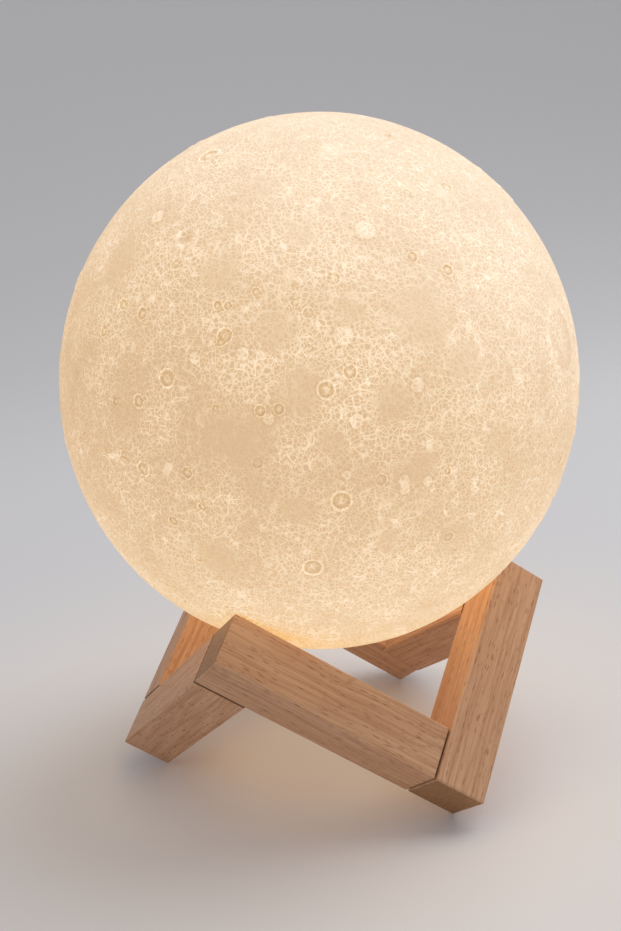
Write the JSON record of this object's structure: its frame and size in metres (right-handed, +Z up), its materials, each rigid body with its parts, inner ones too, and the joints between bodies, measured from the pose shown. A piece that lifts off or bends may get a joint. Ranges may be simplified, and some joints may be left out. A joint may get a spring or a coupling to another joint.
{
  "type": "moon lamp",
  "caption": "Table lamp: a cratered glowing moon globe resting in a zigzag ring of square wooden bars with three feet and three peaks.",
  "frame": {"origin": "on the floor under the middle of the globe", "axes": "+Z up along the globe's upright axis, front of the lamp towards -Y, +X to the right"},
  "size_m": [0.15, 0.15, 0.1916],
  "materials": {
    "beech": "sanded beech with short dark flecks, thin satin finish",
    "dowel_wood": "fluted dowel, raw",
    "moon_print": "3D printed translucent shell with crater relief, matte",
    "inner_print": "printed, matte",
    "white_plastic": "moulded, fine matte",
    "grey_plastic": "moulded, satin",
    "black_plastic": "moulded, matte",
    "clear_plastic": "clear moulded, polished",
    "circuit_board": "solder mask, semi gloss",
    "lamp_board_white": "white solder mask on aluminium",
    "led_yellow": "phosphor resin",
    "battery_wrap": "foil pouch",
    "foam_pad": "foam tape",
    "wire_red": "insulated wire",
    "bare_aluminium": "turned disc",
    "steel": "plated steel"
  },
  "bodies": {
    "stand": {"front_bar": "beech", "right_bar": "beech", "rear_right_bar": "beech", "rear_bar": "beech", "rear_left_bar": "beech", "left_bar": "beech", "stand_dowels": "dowel_wood"},
    "globe": {"moon_shell": "moon_print", "mouth_collar": "inner_print", "base_cup": "white_plastic", "base_cover": "white_plastic", "cover_screws": "steel", "tact_switch": "black_plastic", "control_board": "circuit_board", "board_chips": "black_plastic", "board_screws": "steel", "socket_shell": "steel", "socket_tongue": "black_plastic", "light_pipe": "clear_plastic", "charge_led": "led_yellow", "battery_cell": "battery_wrap", "battery_pad": "foam_pad", "battery_leads": "wire_red", "light_post": "white_plastic", "post_screws": "steel", "heat_spreader": "bare_aluminium", "lamp_board": "lamp_board_white", "lamp_leds": "led_yellow", "lamp_leads": "wire_red"},
    "button": {"button_cap": "grey_plastic", "switch_stem": "black_plastic"}
  },
  "joints": [
    {"name": "globe_lift", "type": "slide", "parent": "stand", "child": "globe", "axis": [0, 0, 1], "range_m": [0, 0.1]},
    {"name": "button_press", "type": "slide", "parent": "globe", "child": "button", "axis": [0, 0, 1], "range_m": [0, 0.0006], "stiffness_N_per_m": 2500}
  ]
}
